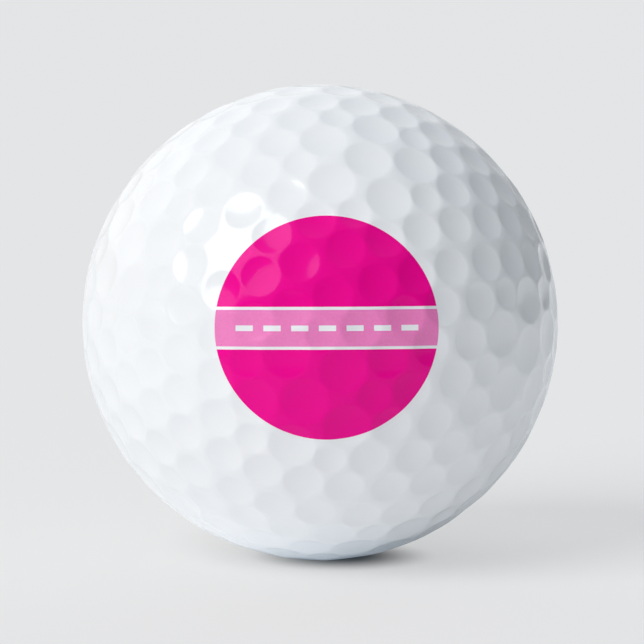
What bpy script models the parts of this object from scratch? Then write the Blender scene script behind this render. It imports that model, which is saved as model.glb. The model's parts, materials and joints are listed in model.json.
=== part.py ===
"""A golf ball: a rubber core, a mantle and a dimpled cover, each shell in two halves, and a printed disc.

The origin is the ball's centre, +Z is up and the print faces -Y, tilted up a little.
"""

import math

import bmesh
import bpy
from mathutils import Matrix, Vector

MM = 0.001  # one millimetre in metres

# Layers, from the outside in
BALL_RADIUS = 21.35 * MM
COVER_INNER_RADIUS = 19.55 * MM
MANTLE_OUTER_RADIUS = 19.50 * MM
MANTLE_INNER_RADIUS = 18.25 * MM
CORE_RADIUS = 18.20 * MM
SEAM_GAP = 0.04 * MM  # between the front and rear half of a shell
SPHERE_SUBDIVISIONS = 4

# How the moulded ball lies: the front pole's bearing about Z and tilt from Z, and the spin about that pole.
# The seam is the great circle round the poles, where the dimples leave a narrow strip free.
FRONT_POLE_TURN = math.radians(-95.5)
FRONT_POLE_TILT = math.radians(101.46)
DIMPLE_SPIN = math.radians(20.54)

# Dimples. Each kind repeats round all twelve corners of an icosahedron: how far it lies from the corner,
# its bearings from an edge of the icosahedron, its angular radius and its depth below the ball's surface.
FIFTH_TURN = 72.0
DIMPLE_KINDS = (
    # from corner, bearings, angular radius, depth
    (0.0, (0.0,), 5.80, 0.26 * MM),
    (11.91, (36.0,), 5.65, 0.25 * MM),
    (16.44, (0.0,), 3.95, 0.18 * MM),
    (22.06, (36.0 - 13.16, 36.0 + 13.16), 4.80, 0.22 * MM),
    (25.89, (0.0,), 4.75, 0.22 * MM),
    (31.62, (36.0,), 4.75, 0.22 * MM),
    (48.86, (36.0,), 4.75, 0.22 * MM),
)
RIM_POINTS = 8
HULL_BULGE = 0.3  # where a dimple's middle stands while the hull is made, from its rim's plane to the sphere

# The print: a disc split by a paler band, with bare lines of cover between them
PRINT_TILT = math.radians(6.0)
PRINT_RADIUS = 9.75 * MM
BAND_HEIGHT = 3.18 * MM
BARE_LINE = 0.27 * MM
PRINT_CLEARANCE = 0.03 * MM
PRINT_THICKNESS = 0.06 * MM
ARC_POINTS = 40
DASH_COUNT = 7
DASH_LENGTH = 1.50 * MM
DASH_HEIGHT = 0.50 * MM
DASH_PITCH = 2.40 * MM

# Colours and finishes: base colour, roughness
WHITE_COVER = ((0.86, 0.87, 0.89, 1.0), 0.20)
MANTLE_PLASTIC = ((0.70, 0.74, 0.80, 1.0), 0.45)
CORE_RUBBER = ((0.16, 0.33, 0.55, 1.0), 0.70)
HOT_PINK_INK = ((0.83, 0.007, 0.27, 1.0), 0.25)
PALE_PINK_INK = ((0.86, 0.23, 0.52, 1.0), 0.25)

POLE_AXIS = Vector((0, 0, 1))  # in the moulded ball's own frame, where the seam lies in the XY plane
BALL_TURN = (
    Matrix.Rotation(FRONT_POLE_TURN, 4, "Z")
    @ Matrix.Rotation(FRONT_POLE_TILT, 4, "Y")
    @ Matrix.Rotation(DIMPLE_SPIN, 4, "Z")
)
PRINT_TURN = Matrix.Rotation(-PRINT_TILT, 4, "X")


def clear_scene():
    for obj in list(bpy.data.objects):
        bpy.data.objects.remove(obj)


def make_collection(name):
    collection = bpy.data.collections.new(name)
    bpy.context.scene.collection.children.link(collection)
    return collection


def make_material(name, finish):
    colour, roughness = finish
    material = bpy.data.materials.new(name)
    material.use_nodes = True
    shader = material.node_tree.nodes["Principled BSDF"]
    shader.inputs["Base Color"].default_value = colour
    shader.inputs["Roughness"].default_value = roughness
    shader.inputs["Metallic"].default_value = 0.0
    material.diffuse_color = colour
    return material


def add_object(name, bm, collection, turn, finish=None):
    """A new object from this mesh, turned about the ball's centre."""
    bmesh.ops.recalc_face_normals(bm, faces=bm.faces)
    mesh = bpy.data.meshes.new(name)
    bm.to_mesh(mesh)
    bm.free()
    mesh.shade_smooth()
    mesh.set_sharp_from_angle(angle=math.radians(20))
    obj = bpy.data.objects.new(name, mesh)
    obj.matrix_world = turn
    collection.objects.link(obj)
    if finish:
        mesh.materials.append(make_material(name, finish))
    return obj


def add_cutter(name, bm, turn):
    cutter = add_object(name, bm, cutters, turn)
    cutter.hide_render = True
    cutter.display_type = "WIRE"
    return cutter


def add_boolean(obj, operation, other):
    boolean = obj.modifiers.new(other.name, "BOOLEAN")
    boolean.operation = operation
    boolean.solver = "EXACT"
    boolean.object = other


def direction_from(corner, edge, distance, bearing):
    """The unit vector this many degrees from a corner, at this bearing from the edge's direction."""
    side = corner.cross(edge)
    heading = edge * math.cos(math.radians(bearing)) + side * math.sin(math.radians(bearing))
    return corner * math.cos(math.radians(distance)) + heading * math.sin(math.radians(distance))


def icosahedron_corners():
    """Each corner's direction, with the direction of one edge that leaves it. Two corners are the poles."""
    ring_height = math.atan(0.5)
    corners = [POLE_AXIS.copy(), -POLE_AXIS]
    for side, first in ((1, 0.0), (-1, FIFTH_TURN / 2)):
        for k in range(5):
            around = math.radians(first + k * FIFTH_TURN)
            flat = math.cos(ring_height)
            corners.append(
                Vector((flat * math.cos(around), flat * math.sin(around), side * math.sin(ring_height)))
            )
    for corner in corners:
        neighbour = min((c for c in corners if c is not corner), key=lambda c: round(-c.dot(corner), 6))
        edge = (neighbour - corner * neighbour.dot(corner)).normalized()
        yield corner, edge


def dimples():
    """(direction, angular radius in radians, depth) of every dimple on the ball."""
    for corner, edge in icosahedron_corners():
        for distance, bearings, radius, depth in DIMPLE_KINDS:
            repeats = 5 if distance else 1
            for k in range(repeats):
                for bearing in bearings:
                    centre = direction_from(corner, edge, distance, bearing + k * FIFTH_TURN)
                    yield centre, math.radians(radius), depth


def dimpled_ball():
    """The ball's outer skin: every dimple is a ring of points on the sphere round a sunken middle."""
    bm = bmesh.new()
    floors = []
    for centre, radius, depth in dimples():
        across = centre.orthogonal().normalized()
        for k in range(RIM_POINTS):
            rim = direction_from(centre, across, math.degrees(radius), k * 360 / RIM_POINTS)
            bm.verts.new(rim * BALL_RADIUS)
        rim_plane = math.cos(radius)
        middle = bm.verts.new(centre * BALL_RADIUS * (rim_plane + HULL_BULGE * (1 - rim_plane)))
        floors.append((middle, centre * (BALL_RADIUS - depth)))
    bmesh.ops.convex_hull(bm, input=bm.verts)
    unused = [point for point in bm.verts if not point.link_faces]
    bmesh.ops.delete(bm, geom=unused, context="VERTS")
    for middle, floor in floors:
        middle.co = floor
    return bm


def sphere(radius):
    bm = bmesh.new()
    bmesh.ops.create_icosphere(bm, subdivisions=SPHERE_SUBDIVISIONS, radius=radius)
    return bm


def keep_half(bm, side):
    """Cuts away what lies beyond the seam plane, so that an open skin remains."""
    bmesh.ops.bisect_plane(
        bm,
        geom=bm.verts[:] + bm.edges[:] + bm.faces[:],
        dist=1e-7,
        plane_co=(0, 0, 0),
        plane_no=(0, 0, side),
        clear_inner=True,
    )


def half_shell(outer, inner, side):
    """A closed half shell between two skins, with a flat rim half a seam gap from the seam plane."""
    for skin in (outer, inner):
        keep_half(skin, side)
    inner_mesh = bpy.data.meshes.new("inner_skin")
    inner.to_mesh(inner_mesh)
    inner.free()
    outer.from_mesh(inner_mesh)
    bpy.data.meshes.remove(inner_mesh)
    rim = [edge for edge in outer.edges if edge.is_boundary]
    bmesh.ops.triangle_fill(outer, edges=rim, use_beauty=True, normal=(0, 0, side))
    bmesh.ops.translate(outer, verts=outer.verts, vec=(0, 0, side * SEAM_GAP / 2))
    return outer


def add_shells():
    for half, side in (("front", 1), ("rear", -1)):
        cover = half_shell(dimpled_ball(), sphere(COVER_INNER_RADIUS), side)
        add_object(f"cover_{half}_half", cover, golf_ball, BALL_TURN, WHITE_COVER)
        mantle = half_shell(sphere(MANTLE_OUTER_RADIUS), sphere(MANTLE_INNER_RADIUS), side)
        add_object(f"mantle_{half}_half", mantle, golf_ball, BALL_TURN, MANTLE_PLASTIC)


def outline_prism(outline, holes=()):
    """A prism along Y, from inside the ball to in front of it, over an outline and its holes in X and Z."""
    bm = bmesh.new()
    edges = []
    for loop in (outline, *holes):
        points = [bm.verts.new((x, -0.6 * BALL_RADIUS, z)) for x, z in loop]
        edges += [bm.edges.new(pair) for pair in zip(points, points[1:] + points[:1])]
    bmesh.ops.triangle_fill(bm, edges=edges, use_beauty=True, normal=(0, 1, 0))
    swept = bmesh.ops.extrude_face_region(bm, geom=bm.faces[:])
    front = [item for item in swept["geom"] if isinstance(item, bmesh.types.BMVert)]
    bmesh.ops.translate(bm, verts=front, vec=(0, -0.5 * BALL_RADIUS, 0))
    return bm


def arc(start, end, count):
    """Points on the disc's edge, from one bearing to another."""
    for k in range(count + 1):
        bearing = start + (end - start) * k / count
        yield PRINT_RADIUS * math.cos(bearing), PRINT_RADIUS * math.sin(bearing)


def segment_outline(side):
    """The part of the disc above the band, or below it, from chord to arc."""
    low = math.asin((BAND_HEIGHT / 2 + BARE_LINE) / PRINT_RADIUS)
    return [(x, side * z) for x, z in arc(low, math.pi - low, ARC_POINTS)]


def band_outline():
    """The band across the disc, with round ends on the disc's edge."""
    corner = math.asin(BAND_HEIGHT / 2 / PRINT_RADIUS)
    right = list(arc(-corner, corner, 4))
    return right + [(-x, -z) for x, z in right]


def dash_outlines():
    """A row of bare dashes along the band, which help a player to line up a putt."""
    for k in range(DASH_COUNT):
        middle = (k - (DASH_COUNT - 1) / 2) * DASH_PITCH
        left, right, top = middle - DASH_LENGTH / 2, middle + DASH_LENGTH / 2, DASH_HEIGHT / 2
        yield [(left, -top), (right, -top), (right, top), (left, top)]


def add_print():
    """Thin films of ink that follow the dimples, each an outline cut out of a skin over the cover."""
    top = add_cutter("ink_top", dimpled_ball(), BALL_TURN)
    underside = add_cutter("ink_underside", dimpled_ball(), BALL_TURN)
    underside.scale *= 1 + PRINT_CLEARANCE / BALL_RADIUS
    top.scale *= 1 + (PRINT_CLEARANCE + PRINT_THICKNESS) / BALL_RADIUS
    films = (
        ("print_disc_upper", outline_prism(segment_outline(1)), HOT_PINK_INK),
        ("print_disc_lower", outline_prism(segment_outline(-1)), HOT_PINK_INK),
        ("print_band", outline_prism(band_outline(), dash_outlines()), PALE_PINK_INK),
    )
    for name, prism, finish in films:
        film = add_object(name, prism, golf_ball, PRINT_TURN, finish)
        add_boolean(film, "INTERSECT", top)
        add_boolean(film, "DIFFERENCE", underside)


clear_scene()
golf_ball = make_collection("golf_ball")
cutters = make_collection("cutters")
add_object("core", sphere(CORE_RADIUS), golf_ball, BALL_TURN, CORE_RUBBER)
add_shells()
add_print()
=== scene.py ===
"""Looks of the golf ball: a finely dimpled glossy cover, ink films that follow it, and a soft pale studio.

Everything is in metres, in the frame of the CAD model: the ball's centre is the origin, +Z is up and the
print faces -Y. The ball's radius, its dimples, the print's radius and the height of its band are read from
that frame. The print's tilt and its dashes are set here, as in the CAD model.
"""

import json
import math

import bmesh
import bpy
import numpy as np
from mathutils import Matrix, Vector
from mathutils.geometry import delaunay_2d_cdt


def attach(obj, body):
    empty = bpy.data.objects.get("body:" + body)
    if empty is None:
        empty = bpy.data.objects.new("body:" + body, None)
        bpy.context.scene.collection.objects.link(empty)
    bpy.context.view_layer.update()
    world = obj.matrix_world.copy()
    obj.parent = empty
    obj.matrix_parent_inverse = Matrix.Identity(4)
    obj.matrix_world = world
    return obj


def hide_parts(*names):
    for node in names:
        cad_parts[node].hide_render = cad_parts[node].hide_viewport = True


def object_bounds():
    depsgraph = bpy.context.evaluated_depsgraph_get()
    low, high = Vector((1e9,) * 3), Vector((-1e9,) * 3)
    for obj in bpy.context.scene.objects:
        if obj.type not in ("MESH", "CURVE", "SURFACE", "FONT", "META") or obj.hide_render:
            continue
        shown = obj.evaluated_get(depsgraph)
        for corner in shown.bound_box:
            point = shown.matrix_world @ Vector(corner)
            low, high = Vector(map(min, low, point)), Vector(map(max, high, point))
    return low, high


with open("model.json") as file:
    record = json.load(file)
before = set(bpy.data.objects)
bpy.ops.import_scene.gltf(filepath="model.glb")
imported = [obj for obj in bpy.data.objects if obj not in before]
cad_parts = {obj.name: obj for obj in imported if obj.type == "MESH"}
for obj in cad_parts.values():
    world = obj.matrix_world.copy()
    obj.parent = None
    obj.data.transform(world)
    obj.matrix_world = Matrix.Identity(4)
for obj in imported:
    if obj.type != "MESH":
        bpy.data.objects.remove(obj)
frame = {"nodes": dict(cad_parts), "record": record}
cad_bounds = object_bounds()

MM = 0.001  # one millimetre in metres
SAME_PLACE_DECIMALS = 7  # points that agree to this many decimals of a metre are one
TINY_ANGLE = 1e-6
FLAT_TOLERANCE = 1e-9

# Dimples
RIM_ROUNDING = 0.18 * MM  # half the width of the rounded lip, measured across it
LEAST_DIMPLE_DEPTH = 0.10 * MM
RIM_POINTS = 48  # points in each ring round a dimple
BOWL_RINGS = (0.25, 0.50, 0.75)  # shares of the bowl's radius, inside the lip
LIP_STEPS = 4
LAND_SHARE = 0.40  # how much of the land to its nearest neighbour a dimple's outermost ring may take
SEAM_SHARE = 0.75  # the same for the land between a dimple and the seam

# Shells and core
HALVES = ("front", "rear")
SEAM_POINTS = 360
DOME_RINGS = 24
LAND_POINTS = 40000  # points spread evenly over the ball, of which those on the land are used
LAND_MARGIN = 0.16 * MM
CORE_SUBDIVISIONS = 6

# Print
PRINT_TILT = math.radians(6.0)
PRINT_TURN = np.array(Matrix.Rotation(-PRINT_TILT, 3, "X"))
DASH_COUNT = 7
DASH_LENGTH = 1.50 * MM
DASH_HEIGHT = 0.50 * MM
DASH_PITCH = 2.40 * MM
INK_LIFT = 0.003 * MM
INK_THICKNESS = 0.010 * MM
INK_STEP = 0.10 * MM
INK_MARGIN = 0.6 * INK_STEP  # between the outline and the points inside it
INK_CHUNK = 100  # outline points worked on at a time
LAYING_ROUNDS = 5  # each round brings a point of the print closer to its height above the cover

# Colours
COVER_DULL, COVER_BRIGHT = (0.868, 0.873, 0.880), (0.888, 0.891, 0.895)
HOT_PINK_THIN, HOT_PINK_DENSE = (0.865, 0.002, 0.272), (0.895, 0.001, 0.262)
HOT_PINK_SHEEN = (0.40, 0.06, 0.35)
PALE_PINK_THIN, PALE_PINK_DENSE = (0.875, 0.240, 0.54), (0.865, 0.210, 0.50)
PALE_PINK_SHEEN = (0.40, 0.30, 0.40)
MANTLE_DARK, MANTLE_LIGHT = (0.64, 0.69, 0.76), (0.72, 0.75, 0.81)
RUBBER_DARK, RUBBER_LIGHT = (0.10, 0.25, 0.46), (0.20, 0.38, 0.60)
NOISE_RANGE = (0.3, 0.7)  # nearly all of the noise lies between these

# Camera
CAMERA_AZIMUTH = math.radians(-1.74)
CAMERA_ELEVATION = math.radians(7.4)
CAMERA_DISTANCE_IN_RADII = 28.5
BALL_SHARE_OF_FRAME = 0.739
CAMERA_SHIFT = (0.003, 0.0005)
SENSOR = 36.0

# Stage and light
BACKDROP_GREY = 0.791
FLOOR_ALBEDO = (0.85, 0.85, 0.85)  # as the ball sees the floor
FLOOR_GLOW = (0.13, 0.16, 0.19)  # painted bounce light: a faint cool glow of the floor round this place, which lights the ball but is unseen by the camera
FLOOR_GLOW_MIDDLE = (-3.5 * MM, -6.0 * MM)
FLOOR_GLOW_REACH = 24.0 * MM
FLOOR_SEEN_ALBEDO = (0.25, 0.25, 0.25)  # as the camera sees it
FLOOR_SEEN_GLOW = (0.526, 0.526, 0.526)  # a glow that thins the shadow; it fades out where the ball rests, which paints a darker contact shadow there
# painted contact shadow: round this place the floor's glow fades out for the camera
CONTACT_SHADOW_MIDDLE = (2.0 * MM, 0.5 * MM)
CONTACT_SHADOW_FROM = 1.5 * MM
CONTACT_SHADOW_TO = 9.0 * MM
FLOOR_SIZE = 60.0
FLOOR_FADE_FROM = 0.8  # beyond this distance the floor fades into the flat backdrop
FLOOR_FADE_TO = 2.5
SOFTBOX_AZIMUTH = math.radians(-50.0)
SOFTBOX_ELEVATION = math.radians(37.0)
SOFTBOX_HALF_ANGLE = math.radians(21.5)  # as seen from the ball
SOFTBOX_DISTANCE = 40.0
SOFTBOX_RADIANCE = 5.0
FLOOR_KEY_RADIANCE = 2.1  # more light from the same place on the floor alone, which deepens the shadow
GLOW_FALLOFF = 8.0  # each glow fades as this power of the cosine of the angle from its middle
BRIGHT_WALL = (0.93, 0.93, 0.93)
DIM_WALL = (0.22, 0.28, 0.34)  # cool, on the side away from the softbox
GLOWS = (
    # azimuth, elevation, colour: the walls and ceiling that the ball reflects
    (-135.0, 20.0, BRIGHT_WALL),
    (180.0, 20.0, BRIGHT_WALL),  # backdrop behind the ball
    (0.0, 90.0, BRIGHT_WALL),  # ceiling
    (180.0, 55.0, DIM_WALL),
    (135.0, 55.0, DIM_WALL),
    (45.0, 55.0, DIM_WALL),
    (0.0, 20.0, DIM_WALL),
)


# ---------------------------------------------------------------- what the frame says


def mesh_arrays(name):
    """A CAD node's points and triangles, with points that share a place made one."""
    mesh = frame["nodes"][name].data
    points = np.array([vertex.co for vertex in mesh.vertices])
    rounded = np.round(points, SAME_PLACE_DECIMALS)
    _, first, index = np.unique(rounded, axis=0, return_index=True, return_inverse=True)
    mesh.calc_loop_triangles()
    triangles = np.array([triangle.vertices for triangle in mesh.loop_triangles])
    return points[first], index.reshape(-1)[triangles]


def moved_to_seam(points, pole):
    """The points of a half shell, moved along its pole until its rim lies in the seam plane."""
    return points - pole * (points @ pole).min()


def read_cover_half(name, ball_radius):
    """What the CAD says of one half of the cover: its pole, its inner radius and its dimples.

    In the CAD the middle of each dimple is one point, joined to the points of its rim, and the half
    stands off the seam plane by half the gap there.
    """
    points, triangles = mesh_arrays(name)
    lengths = np.linalg.norm(points, axis=1)
    inner_radius = lengths.min()
    halfway = (ball_radius + inner_radius) / 2
    floors = np.flatnonzero((lengths < ball_radius - LEAST_DIMPLE_DEPTH) & (lengths > halfway))
    pole = points[floors].sum(axis=0)
    pole /= np.linalg.norm(pole)
    points = moved_to_seam(points, pole)
    lengths = np.linalg.norm(points, axis=1)
    directions = points[floors] / lengths[floors][:, None]
    radii = []
    for floor, direction in zip(floors, directions):
        around = np.setdiff1d(triangles[(triangles == floor).any(axis=1)], [floor])
        rim = points[around] / lengths[around][:, None]
        radii.append(np.arccos(rim @ direction).mean())
    return pole, inner_radius, directions, np.array(radii), ball_radius - lengths[floors]


def print_points(name):
    """The points of a CAD film, seen square on to the print: x to the right, y into the ball, z up."""
    points, _ = mesh_arrays(name)
    return points @ PRINT_TURN


# ---------------------------------------------------------------- the dimpled surface


def side_directions(directions):
    """Two unit vectors at right angles to each direction and to each other."""
    helper = np.where(np.abs(directions[:, 2:]) < 0.9, [[0.0, 0.0, 1.0]], [[1.0, 0.0, 0.0]])
    first = np.cross(directions, helper)
    first /= np.linalg.norm(first, axis=1)[:, None]
    return first, np.cross(directions, first)


class DimpledSurface:
    """The ball's outer surface: a sphere with bowls sunk into it, whose lips are rounded."""

    CHUNK = 20000  # directions worked on at a time
    NEAREST = 4  # dimples that may shape the surface at one place

    def __init__(self, directions, radii, depths, ball_radius, pole):
        self.directions = directions
        self.radii = radii
        self.ball_radius = ball_radius
        self.lip = RIM_ROUNDING / ball_radius
        self.slopes = 2 * depths / (radii + self.lip)  # at the rim, in metres per radian
        apart = np.arccos(np.clip(directions @ directions.T, -1, 1))
        land = apart - radii[:, None] - radii[None, :]
        np.fill_diagonal(land, math.pi)
        to_seam = np.arcsin(np.abs(directions @ pole)) - radii
        nearest = np.minimum(LAND_SHARE * land.min(axis=1), SEAM_SHARE * to_seam)
        self.reach = radii + np.minimum(self.lip, nearest)

    def depths_and_changes(self, which, angles):
        """These dimples' depths at these angles from their middles, and how they change with the angle."""
        radii, slopes = self.radii[which], self.slopes[which]
        edge = radii - self.lip
        outer = np.maximum(radii + self.lip - angles, 0)
        in_bowl = angles < edge
        bowl = slopes * (self.lip + (edge**2 - angles**2) / (2 * edge))
        lip = slopes * outer**2 / (4 * self.lip)
        bowl_change = -slopes * angles / edge
        lip_change = -slopes * outer / (2 * self.lip)
        return np.where(in_bowl, bowl, lip), np.where(in_bowl, bowl_change, lip_change)

    def towards(self, directions):
        """How far the surface is from the centre in these directions, and its normals there."""
        lengths, normals = [], []
        for start in range(0, len(directions), self.CHUNK):
            some = directions[start : start + self.CHUNK]
            cosines = some @ self.directions.T
            near = np.argpartition(-cosines, self.NEAREST, axis=1)[:, : self.NEAREST]
            cosines = np.clip(np.take_along_axis(cosines, near, axis=1), -1, 1)
            angles = np.arccos(cosines)
            depths, changes = self.depths_and_changes(near, angles)
            length = self.ball_radius - depths.sum(axis=1)
            sines = np.maximum(np.sin(angles), TINY_ANGLE)
            tilts = changes / sines / length[:, None]
            uphill = cosines[..., None] * some[:, None] - self.directions[near]
            normal = some + (tilts[..., None] * uphill).sum(axis=1)
            lengths.append(length)
            normals.append(normal / np.linalg.norm(normal, axis=1)[:, None])
        return np.concatenate(lengths), np.concatenate(normals)


def even_directions(count):
    """Unit vectors spread evenly over the sphere, along a spiral."""
    number = np.arange(count)
    height = 1 - (2 * number + 1) / count
    turn = number * math.pi * (3 - math.sqrt(5))
    flat = np.sqrt(1 - height**2)
    return np.stack([flat * np.cos(turn), flat * np.sin(turn), height], axis=1)


# ---------------------------------------------------------------- meshes


def new_mesh_object(name, points, triangles, corner_normals, material):
    """An object from arrays: its points, its triangles and the shading normal at each triangle's corners."""
    mesh = bpy.data.meshes.new(name)
    mesh.from_pydata(points.tolist(), [], triangles.tolist())
    mesh.materials.append(material)
    mesh.shade_smooth()
    mesh.normals_split_custom_set(corner_normals.reshape(-1, 3).tolist())
    obj = bpy.data.objects.new(name, mesh)
    bpy.context.scene.collection.objects.link(obj)
    return obj


def strip(inner, outer):
    """Triangles between two rings of point numbers, facing the way from which both rings turn left."""
    next_inner, next_outer = np.roll(inner, -1, axis=-1), np.roll(outer, -1, axis=-1)
    first = np.stack([inner, outer, next_outer], axis=-1)
    second = np.stack([inner, next_outer, next_inner], axis=-1)
    return np.concatenate([first, second]).reshape(-1, 3)


def fan(middle, ring):
    """Triangles between one point number, or one for each ring, and a ring of them."""
    middle = np.broadcast_to(middle, ring.shape)
    return np.stack([middle, ring, np.roll(ring, -1, axis=-1)], axis=-1).reshape(-1, 3)


def triangulated(flat_points, loops):
    """Triangles over flat points that keep these closed loops of point numbers as edges."""
    edges = [(int(a), int(b)) for loop in loops for a, b in zip(loop, np.roll(loop, -1))]
    result = delaunay_2d_cdt([Vector(place) for place in flat_points], edges, [], 0, FLAT_TOLERANCE)
    sources = np.array([source[0] for source in result[3]])
    return sources[np.array(result[2])]


# ---------------------------------------------------------------- shells and core


def seam_directions(pole):
    """Directions evenly round the seam, turning left as seen from this pole."""
    first, second = (axis[0] for axis in side_directions(pole[None]))
    turn = np.arange(SEAM_POINTS) * 2 * math.pi / SEAM_POINTS
    return np.outer(np.cos(turn), first) + np.outer(np.sin(turn), second)


def dome_directions(pole):
    """Directions in rings from the seam up to the pole, which comes last."""
    seam = seam_directions(pole)
    heights = np.arange(DOME_RINGS) * math.radians(90) / DOME_RINGS
    rings = [seam * math.cos(height) + pole * math.sin(height) for height in heights]
    return np.concatenate([*rings, pole[None]])


def dome_triangles(start):
    """Triangles over a dome whose points are numbered from this start, facing the centre."""
    rings = start + np.arange(DOME_RINGS * SEAM_POINTS).reshape(DOME_RINGS, -1)
    triangles = [strip(rings[k], rings[k + 1]) for k in range(DOME_RINGS - 1)]
    triangles.append(fan(rings[-1, -1] + 1, rings[-1])[:, ::-1])
    return rings[0], np.concatenate(triangles)


def make_mantle_half(name, cad_name, pole, material):
    """One closed half of the mantle, as thick as in the CAD, with its flat rim at the seam."""
    points, _ = mesh_arrays(cad_name)
    dome = dome_directions(pole)
    outer_rim, outer = dome_triangles(0)
    inner_rim, inner = dome_triangles(len(dome))
    outer = outer[:, ::-1]
    rim = strip(outer_rim, inner_rim)
    lengths = np.linalg.norm(moved_to_seam(points, pole), axis=1)
    normals = np.concatenate([dome, -dome])
    corner_normals = [normals[outer], np.broadcast_to(-pole, (len(rim), 3, 3)), normals[inner]]
    points = np.concatenate([dome * lengths.max(), dome * lengths.min()])
    triangles = np.concatenate([outer, rim, inner])
    return new_mesh_object(name, points, triangles, np.concatenate(corner_normals), material)


def make_core(name, cad_name, material):
    """The solid ball in the middle, as large as in the CAD."""
    points, _ = mesh_arrays(cad_name)
    radius = np.linalg.norm(points, axis=1).max()
    bm = bmesh.new()
    bmesh.ops.create_icosphere(bm, subdivisions=CORE_SUBDIVISIONS, radius=radius)
    mesh = bpy.data.meshes.new(name)
    bm.to_mesh(mesh)
    bm.free()
    mesh.materials.append(material)
    mesh.shade_smooth()
    core = bpy.data.objects.new(name, mesh)
    bpy.context.scene.collection.objects.link(core)
    return core


def ring_directions(surface, chosen):
    """Directions of the rings round the chosen dimples, as (dimple, ring, point, xyz)."""
    first, second = side_directions(surface.directions[chosen])
    turn = np.arange(RIM_POINTS) * 2 * math.pi / RIM_POINTS
    around = first[:, None] * np.cos(turn)[:, None] + second[:, None] * np.sin(turn)[:, None]
    edge = surface.radii[chosen] - surface.lip
    reach = surface.reach[chosen]
    angles = [share * edge for share in BOWL_RINGS]
    angles += [edge + (reach - edge) * k / LIP_STEPS for k in range(LIP_STEPS + 1)]
    angles = np.stack(angles, axis=1)[:, :, None, None]
    return surface.directions[chosen][:, None, None] * np.cos(angles) + around[:, None] * np.sin(angles)


def land_directions(surface, pole):
    """Evenly spread directions on the land between the dimples of one half, clear of lips and seam."""
    spread = even_directions(LAND_POINTS)
    spread = spread[spread @ pole > LAND_MARGIN / surface.ball_radius]
    angles = np.arccos(np.clip(spread @ surface.directions.T, -1, 1))
    clear = (angles - surface.reach).min(axis=1) > LAND_MARGIN / surface.ball_radius
    return spread[clear]


def land_triangles(rings, others, seam_numbers, pole):
    """Triangles between the dimples' outer rings and out to the seam, numbered as rings, then others."""
    directions = np.concatenate([rings.reshape(-1, 3), others])
    first, second = (axis[0] for axis in side_directions(pole[None]))
    flat = np.stack([directions @ first, directions @ second], axis=1) / (1 + directions @ pole)[:, None]
    ring_numbers = np.arange(rings.shape[0] * RIM_POINTS).reshape(-1, RIM_POINTS)
    triangles = triangulated(flat, [*ring_numbers, seam_numbers])
    owner = np.where(triangles < ring_numbers.size, triangles // RIM_POINTS, -1)
    inside_dimple = (owner[:, 0] >= 0) & (owner == owner[:, :1]).all(axis=1)
    return triangles[~inside_dimple]


def make_cover_half(name, surface, pole, inner_radius, material):
    """One closed half of the cover: its dimpled skin, its flat rim at the seam and its smooth inside."""
    chosen = np.flatnonzero(surface.directions @ pole > 0)
    rings = ring_directions(surface, chosen)
    seam = seam_directions(pole)
    land = land_directions(surface, pole)
    skin_directions = np.concatenate([rings.reshape(-1, 3), surface.directions[chosen], seam, land])
    lengths, skin_normals = surface.towards(skin_directions)

    ring_numbers = np.arange(rings[..., 0].size).reshape(rings.shape[:3])
    middles = ring_numbers.size + np.arange(len(chosen))
    seam_numbers = middles[-1] + 1 + np.arange(SEAM_POINTS)
    land_numbers = seam_numbers[-1] + 1 + np.arange(len(land))
    outer_rings = ring_numbers[:, -1]
    numbering = np.concatenate([outer_rings.ravel(), seam_numbers, land_numbers])
    flat_seam = outer_rings.size + np.arange(SEAM_POINTS)
    between = land_triangles(rings[:, -1], np.concatenate([seam, land]), flat_seam, pole)
    skin = [numbering[between], fan(middles[:, None], ring_numbers[:, 0])]
    skin += [strip(ring_numbers[:, k], ring_numbers[:, k + 1]) for k in range(rings.shape[1] - 1)]
    skin = np.concatenate(skin)

    inside = dome_directions(pole)
    inside_rim, inner = dome_triangles(len(skin_directions))
    rim = strip(seam_numbers, inside_rim)
    points = np.concatenate([skin_directions * lengths[:, None], inside * inner_radius])
    normals = np.concatenate([skin_normals, -inside])
    corner_normals = [normals[skin], np.broadcast_to(-pole, (len(rim), 3, 3)), normals[inner]]
    triangles = np.concatenate([skin, rim, inner])
    return new_mesh_object(name, points, triangles, np.concatenate(corner_normals), material)


# ---------------------------------------------------------------- print


def sampled(corners):
    """A closed line through these corners, with points at most a step apart."""
    corners = np.array(corners)
    points = []
    for start, end in zip(corners, np.roll(corners, -1, axis=0)):
        count = max(1, round(np.linalg.norm(end - start) / INK_STEP))
        points += [start + (end - start) * k / count for k in range(count)]
    return np.array(points)


def arc(radius, start, end):
    """Points a step apart on a circle round the middle of the print, from one bearing to another."""
    bearings = np.linspace(start, end, round(radius * abs(end - start) / INK_STEP) + 1)
    return [(radius * math.cos(bearing), radius * math.sin(bearing)) for bearing in bearings]


def segment_loop(radius, chord):
    """The disc above a chord at this height, or below it when the height is negative."""
    bearing = math.asin(abs(chord) / radius)
    side = math.copysign(1, chord)
    return sampled([(x, side * z) for x, z in arc(radius, bearing, math.pi - bearing)])


def band_loops(radius, half_height):
    """The band across the disc, and the row of bare dashes in it."""
    bearing = math.asin(half_height / radius)
    right = arc(radius, -bearing, bearing)
    loops = [sampled(right + [(-x, -z) for x, z in right])]
    for k in range(DASH_COUNT):
        middle = (k - (DASH_COUNT - 1) / 2) * DASH_PITCH
        left, end, top = middle - DASH_LENGTH / 2, middle + DASH_LENGTH / 2, DASH_HEIGHT / 2
        loops.append(sampled([(left, -top), (end, -top), (end, top), (left, top)]))
    return loops


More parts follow.
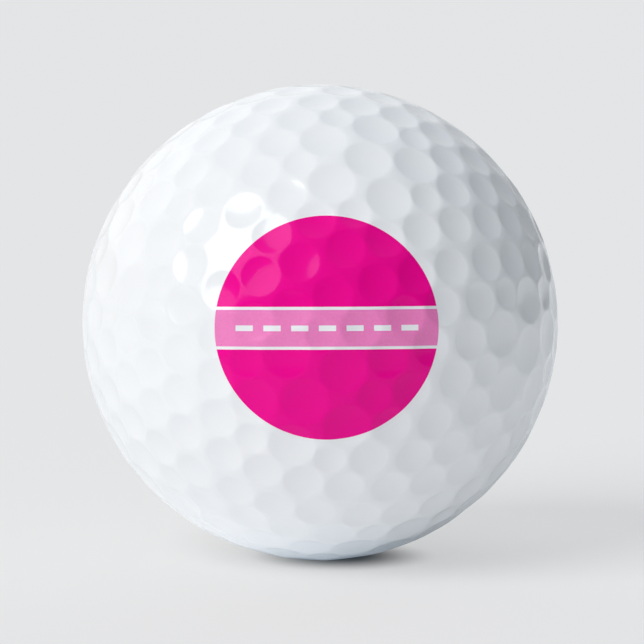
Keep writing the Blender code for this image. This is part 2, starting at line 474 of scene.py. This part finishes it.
def inside(points, loops):
    """Which flat points lie inside the loops, where a loop within a loop is a hole."""
    crossings = np.zeros(len(points), int)
    for loop in loops:
        ends = np.roll(loop, -1, axis=0)
        for (x0, z0), (x1, z1) in zip(loop, ends):
            beside = (z0 <= points[:, 1]) != (z1 <= points[:, 1])
            if beside.any():
                cross_x = x0 + (points[:, 1] - z0) * (x1 - x0) / (z1 - z0)
                crossings += beside & (points[:, 0] < cross_x)
    return crossings % 2 == 1


def lattice_inside(loops):
    """Points of a triangular lattice inside the loops, clear of their lines."""
    low, high = loops[0].min(axis=0), loops[0].max(axis=0)
    row_height = INK_STEP * math.sqrt(3) / 2
    rows = np.arange(low[1], high[1], row_height)
    columns = np.arange(low[0], high[0], INK_STEP)
    x = columns[None] + (np.arange(len(rows)) % 2)[:, None] * INK_STEP / 2
    lattice = np.stack([x, np.broadcast_to(rows[:, None], x.shape)], axis=-1).reshape(-1, 2)
    lattice = lattice[inside(lattice, loops)]
    for loop in loops:
        for start in range(0, len(loop), INK_CHUNK):
            gaps = np.linalg.norm(lattice[:, None] - loop[None, start : start + INK_CHUNK], axis=2)
            lattice = lattice[gaps.min(axis=1) > INK_MARGIN]
    return lattice


def laid_on(surface, flat, lift):
    """Where flat points of the print come to lie this far off the surface, along the print's axis."""
    reach = np.full(len(flat), surface.ball_radius)
    for _ in range(LAYING_ROUNDS):
        depth = -np.sqrt(reach**2 - (flat**2).sum(axis=1))
        points = np.stack([flat[:, 0], depth, flat[:, 1]], axis=1) @ PRINT_TURN.T
        lengths, normals = surface.towards(points / np.linalg.norm(points, axis=1)[:, None])
        reach = lengths + lift
    return points, normals


def signed_area(loop):
    """The flat area inside a loop, negative where the loop turns right."""
    following = np.roll(loop, -1, axis=0)
    return 0.5 * (loop[:, 0] * following[:, 1] - loop[:, 1] * following[:, 0]).sum()


def make_film(name, surface, loops, material):
    """A closed film of ink over the shape inside the loops, following the dimples."""
    flat = np.concatenate([*loops, lattice_inside(loops)])
    starts = np.cumsum([0] + [len(loop) for loop in loops])
    numbers = [np.arange(start, end) for start, end in zip(starts, starts[1:])]
    top = triangulated(flat, numbers)
    top = top[inside(flat[top].mean(axis=1), loops)]
    top_points, top_normals = laid_on(surface, flat, INK_LIFT + INK_THICKNESS)
    under_points, _ = laid_on(surface, flat, INK_LIFT)
    under = top[:, ::-1] + len(flat)
    triangles, corner_normals = [top, under], [top_normals[top], -top_normals[top[:, ::-1]]]
    points = np.concatenate([top_points, under_points])
    for loop, ring in zip(loops, numbers):
        wall = strip(ring, ring + len(flat))
        if (signed_area(loop) > 0) != (loop is loops[0]):  # holes turn the other way from the outline
            wall = wall[:, ::-1]
        across = np.cross(points[wall[:, 1]] - points[wall[:, 0]], points[wall[:, 2]] - points[wall[:, 0]])
        across /= np.linalg.norm(across, axis=1)[:, None]
        triangles.append(wall)
        corner_normals.append(np.repeat(across[:, None], 3, axis=1))
    return new_mesh_object(name, points, np.concatenate(triangles), np.concatenate(corner_normals), material)


# ---------------------------------------------------------------- materials


class Finish:
    """A material made of nodes round a Principled shader."""

    def __init__(self, name):
        self.material = bpy.data.materials.new(name)
        self.material.use_nodes = True
        self.nodes = self.material.node_tree.nodes
        self.links = self.material.node_tree.links
        self.shader = self.nodes["Principled BSDF"]

    def set(self, **values):
        """Sets inputs of the shader, written with _ for each space."""
        for name, value in values.items():
            self.shader.inputs[name.replace("_", " ")].default_value = value

    def noise(self, size, detail=2.0):
        """Noise whose blotches are about this wide, as a value from 0 to 1."""
        place = self.nodes.new("ShaderNodeTexCoord")
        noise = self.nodes.new("ShaderNodeTexNoise")
        noise.inputs["Scale"].default_value = 1 / size
        noise.inputs["Detail"].default_value = detail
        self.links.new(place.outputs["Object"], noise.inputs["Vector"])
        return noise.outputs["Fac"]

    def distance(self, place):
        """How far the shaded point is from a place."""
        geometry = self.nodes.new("ShaderNodeNewGeometry")
        distance = self.nodes.new("ShaderNodeVectorMath")
        distance.operation = "DISTANCE"
        distance.inputs[1].default_value = place
        self.links.new(geometry.outputs["Position"], distance.inputs[0])
        return distance.outputs["Value"]

    def ramp(self, value, start, end):
        """A value that goes smoothly from 0 to 1 while another goes from start to end."""
        ramp = self.nodes.new("ShaderNodeMapRange")
        ramp.interpolation_type = "SMOOTHSTEP"
        ramp.inputs["From Min"].default_value = start
        ramp.inputs["From Max"].default_value = end
        self.links.new(value, ramp.inputs["Value"])
        return ramp.outputs["Result"]

    def by_viewer(self, name, others, camera):
        """Gives a colour of the shader one value for the camera and another for everything else."""
        mix = self.nodes.new("ShaderNodeMix")
        mix.data_type = "RGBA"
        mix.inputs["A"].default_value = (*others, 1)
        mix.inputs["B"].default_value = (*camera, 1)
        self.links.new(self.nodes.new("ShaderNodeLightPath").outputs["Is Camera Ray"], mix.inputs["Factor"])
        self.links.new(mix.outputs["Result"], self.shader.inputs[name])

    def vary(self, name, size, low, high, detail=2.0):
        """Lets a number or a colour of the shader wander between two values."""
        wander = self.nodes.new("ShaderNodeMapRange")
        wander.inputs["From Min"].default_value, wander.inputs["From Max"].default_value = NOISE_RANGE
        self.links.new(self.noise(size, detail), wander.inputs["Value"])
        if isinstance(low, tuple):
            mix = self.nodes.new("ShaderNodeMix")
            mix.data_type = "RGBA"
            mix.inputs["A"].default_value = (*low, 1)
            mix.inputs["B"].default_value = (*high, 1)
            self.links.new(wander.outputs["Result"], mix.inputs["Factor"])
            self.links.new(mix.outputs["Result"], self.shader.inputs[name])
        else:
            wander.inputs["To Min"].default_value = low
            wander.inputs["To Max"].default_value = high
            self.links.new(wander.outputs["Result"], self.shader.inputs[name])

    def bump(self, name, size, height, detail=2.0):
        """Raises the surface that one of the shader's normals sees, by noise of this size and height."""
        bump = self.nodes.new("ShaderNodeBump")
        bump.inputs["Distance"].default_value = height
        self.links.new(self.noise(size, detail), bump.inputs["Height"])
        self.links.new(bump.outputs["Normal"], self.shader.inputs[name])


def cover_finish():
    """White ionomer under a clear coat, with the coat's faint orange peel."""
    finish = Finish("white_cover_finish")
    finish.vary("Base Color", 4 * MM, COVER_DULL, COVER_BRIGHT)
    finish.vary("Roughness", 0.4 * MM, 0.30, 0.42)
    finish.vary("Coat Roughness", 3 * MM, 0.08, 0.12)
    finish.set(Coat_Weight=0.55, Coat_IOR=1.5, IOR=1.45, Specular_IOR_Level=0.3)
    finish.bump("Coat Normal", 0.9 * MM, 0.0012 * MM)
    return finish.material


def ink_finish(name, thin, dense, sheen_tint):
    """Pad-printed ink, a little thinner in places, with a broad sheen of its own under a thin gloss."""
    finish = Finish(name)
    finish.vary("Base Color", 0.25 * MM, thin, dense, detail=4.0)
    finish.vary("Roughness", 0.4 * MM, 0.32, 0.42)
    finish.vary("Coat Roughness", 2 * MM, 0.07, 0.11)
    finish.set(Specular_Tint=(*sheen_tint, 1), IOR=1.5, Coat_Weight=0.12, Coat_IOR=1.5)
    finish.bump("Coat Normal", 0.9 * MM, 0.0008 * MM)
    return finish.material


def mantle_finish():
    """Smooth moulded ionomer, milky and half matt."""
    finish = Finish("mantle_finish")
    finish.vary("Base Color", 6 * MM, MANTLE_DARK, MANTLE_LIGHT)
    finish.vary("Roughness", 1.5 * MM, 0.38, 0.50)
    finish.bump("Normal", 0.3 * MM, 0.004 * MM)
    return finish.material


def core_finish():
    """Ground rubber with specks of filler."""
    finish = Finish("core_finish")
    finish.vary("Base Color", 0.5 * MM, RUBBER_DARK, RUBBER_LIGHT, detail=6.0)
    finish.vary("Roughness", 1 * MM, 0.62, 0.78)
    finish.bump("Normal", 0.15 * MM, 0.010 * MM, detail=6.0)
    return finish.material


# ---------------------------------------------------------------- stage, light and camera


def towards(azimuth, elevation):
    """The unit vector with this azimuth, counted from -Y towards +X, and this elevation."""
    flat = math.cos(elevation)
    return Vector((math.sin(azimuth) * flat, -math.cos(azimuth) * flat, math.sin(elevation)))


def add_floor(height):
    """A wide pale floor that takes shadows near the ball and fades into the backdrop far from it.

    It lights the ball as pale paper would, plus a painted glow of bounce light, but shows the camera a
    thinner shadow and a painted contact shadow.
    """
    bpy.ops.mesh.primitive_plane_add(size=FLOOR_SIZE, location=(0, 0, height))
    floor = bpy.context.object
    floor.name = "floor"
    finish = Finish("floor_finish")
    nodes, links = finish.nodes, finish.links
    finish.set(Roughness=1.0, Specular_IOR_Level=0.0)
    finish.by_viewer("Base Color", FLOOR_ALBEDO, FLOOR_SEEN_ALBEDO)
    finish.by_viewer("Emission Color", FLOOR_GLOW, FLOOR_SEEN_GLOW)
    from_glow = finish.distance((*FLOOR_GLOW_MIDDLE, height))
    from_contact = finish.distance((*CONTACT_SHADOW_MIDDLE, height))
    strength = nodes.new("ShaderNodeMix")
    links.new(nodes.new("ShaderNodeLightPath").outputs["Is Camera Ray"], strength.inputs["Factor"])
    # painted bounce light: a cool glow of the floor that only the ball sees, fading out by FLOOR_GLOW_REACH
    links.new(finish.ramp(from_glow, FLOOR_GLOW_REACH, 0), strength.inputs["A"])
    # painted contact shadow: the glow the camera sees fades out round CONTACT_SHADOW_MIDDLE
    links.new(finish.ramp(from_contact, CONTACT_SHADOW_FROM, CONTACT_SHADOW_TO), strength.inputs["B"])
    links.new(strength.outputs["Result"], finish.shader.inputs["Emission Strength"])

    backdrop = nodes.new("ShaderNodeEmission")
    backdrop.inputs["Color"].default_value = (*[BACKDROP_GREY] * 3, 1)
    mix = nodes.new("ShaderNodeMixShader")
    links.new(finish.ramp(from_contact, FLOOR_FADE_FROM, FLOOR_FADE_TO), mix.inputs["Fac"])
    links.new(finish.shader.outputs["BSDF"], mix.inputs[1])
    links.new(backdrop.outputs["Emission"], mix.inputs[2])
    links.new(mix.outputs["Shader"], nodes["Material Output"].inputs["Surface"])
    floor.data.materials.append(finish.material)
    return floor


def add_softbox(name, radiance):
    """A round softbox so far off that it lights the whole floor evenly."""
    radius = SOFTBOX_DISTANCE * math.tan(SOFTBOX_HALF_ANGLE)
    light = bpy.data.lights.new(name, "AREA")
    light.shape = "DISK"
    light.size = 2 * radius
    light.energy = radiance * math.pi * math.pi * radius**2
    softbox = bpy.data.objects.new(name, light)
    direction = towards(SOFTBOX_AZIMUTH, SOFTBOX_ELEVATION)
    softbox.location = direction * SOFTBOX_DISTANCE
    softbox.rotation_euler = direction.to_track_quat("Z", "Y").to_euler()
    bpy.context.scene.collection.objects.link(softbox)
    return softbox


def light_only(light, obj):
    """Lets a light shine on one object alone, which other objects still shade."""
    receivers = bpy.data.collections.new(light.name + "_receivers")
    receivers.objects.link(obj)
    light.light_linking.receiver_collection = receivers


def add_world():
    """A room whose walls glow softly here and there, with a flat backdrop for the camera."""
    world = bpy.data.worlds.new("studio")
    bpy.context.scene.world = world
    world.use_nodes = True
    nodes, links = world.node_tree.nodes, world.node_tree.links
    direction = nodes.new("ShaderNodeTexCoord").outputs["Generated"]
    room = None
    for azimuth, elevation, colour in GLOWS:
        facing = nodes.new("ShaderNodeVectorMath")
        facing.operation = "DOT_PRODUCT"
        facing.inputs[1].default_value = towards(math.radians(azimuth), math.radians(elevation))
        ahead = nodes.new("ShaderNodeMath")
        ahead.operation = "MAXIMUM"
        ahead.inputs[1].default_value = 0.0
        falloff = nodes.new("ShaderNodeMath")
        falloff.operation = "POWER"
        falloff.inputs[1].default_value = GLOW_FALLOFF
        glow = nodes.new("ShaderNodeVectorMath")
        glow.operation = "SCALE"
        glow.inputs[0].default_value = colour
        links.new(direction, facing.inputs[0])
        links.new(facing.outputs["Value"], ahead.inputs[0])
        links.new(ahead.outputs[0], falloff.inputs[0])
        links.new(falloff.outputs[0], glow.inputs["Scale"])
        if room is None:
            room = glow.outputs["Vector"]
        else:
            add = nodes.new("ShaderNodeVectorMath")
            links.new(room, add.inputs[0])
            links.new(glow.outputs["Vector"], add.inputs[1])
            room = add.outputs["Vector"]
    ray = nodes.new("ShaderNodeLightPath")
    seen = nodes.new("ShaderNodeMix")
    seen.data_type = "RGBA"
    seen.inputs["B"].default_value = (*[BACKDROP_GREY] * 3, 1)
    links.new(ray.outputs["Is Camera Ray"], seen.inputs["Factor"])
    links.new(room, seen.inputs["A"])
    links.new(seen.outputs["Result"], nodes["Background"].inputs["Color"])


def add_camera(ball_radius):
    data = bpy.data.cameras.new("camera")
    distance = CAMERA_DISTANCE_IN_RADII * ball_radius
    outline = math.sqrt(distance**2 - ball_radius**2)
    data.sensor_width = SENSOR
    data.lens = SENSOR * BALL_SHARE_OF_FRAME * outline / (2 * ball_radius)
    data.shift_x, data.shift_y = CAMERA_SHIFT
    camera = bpy.data.objects.new("camera", data)
    direction = towards(CAMERA_AZIMUTH, CAMERA_ELEVATION)
    camera.location = direction * distance
    camera.rotation_euler = direction.to_track_quat("Z", "Y").to_euler()
    bpy.context.scene.collection.objects.link(camera)
    bpy.context.scene.camera = camera


# ---------------------------------------------------------------- assembly


def add_piece(piece, node):
    """Puts a piece in place of the CAD node that it stands for."""
    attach(piece, "root")
    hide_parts(node)


tee_seat = frame["record"]["mounts"][0]["pos_m"]
ball_radius = Vector(tee_seat).length
poles, inner_radii, *found = zip(*(read_cover_half(f"cover_{name}_half", ball_radius) for name in HALVES))
surface = DimpledSurface(*(np.concatenate(arrays) for arrays in found), ball_radius, poles[0])

cover = cover_finish()
for name, pole, inner_radius in zip(HALVES, poles, inner_radii):
    half = make_cover_half(f"cover_{name}_skin", surface, pole, inner_radius, cover)
    add_piece(half, f"cover_{name}_half")

hot_pink = ink_finish("hot_pink_finish", HOT_PINK_THIN, HOT_PINK_DENSE, HOT_PINK_SHEEN)
pale_pink = ink_finish("pale_pink_finish", PALE_PINK_THIN, PALE_PINK_DENSE, PALE_PINK_SHEEN)
upper, lower, band = (print_points(name) for name in ("print_disc_upper", "print_disc_lower", "print_band"))
print_radius = np.hypot(upper[:, 0], upper[:, 2]).max()
upper_loop = segment_loop(print_radius, upper[:, 2].min())
lower_loop = segment_loop(print_radius, lower[:, 2].max())
loops_across = band_loops(print_radius, band[:, 2].max())
upper_film = make_film("upper_disc_ink", surface, [upper_loop], hot_pink)
lower_film = make_film("lower_disc_ink", surface, [lower_loop], hot_pink)
band_film = make_film("band_ink", surface, loops_across, pale_pink)
add_piece(upper_film, "print_disc_upper")
add_piece(lower_film, "print_disc_lower")
add_piece(band_film, "print_band")

mantle = mantle_finish()
for name, pole in zip(HALVES, poles):
    half = make_mantle_half(f"mantle_{name}_shell", f"mantle_{name}_half", pole, mantle)
    add_piece(half, f"mantle_{name}_half")
add_piece(make_core("core_ball", "core", core_finish()), "core")

floor = add_floor(cad_bounds[0][2])
add_softbox("softbox", SOFTBOX_RADIANCE)
light_only(add_softbox("floor_key", FLOOR_KEY_RADIANCE), floor)
add_world()
add_camera(ball_radius)
bpy.context.scene.view_settings.view_transform = "Standard"
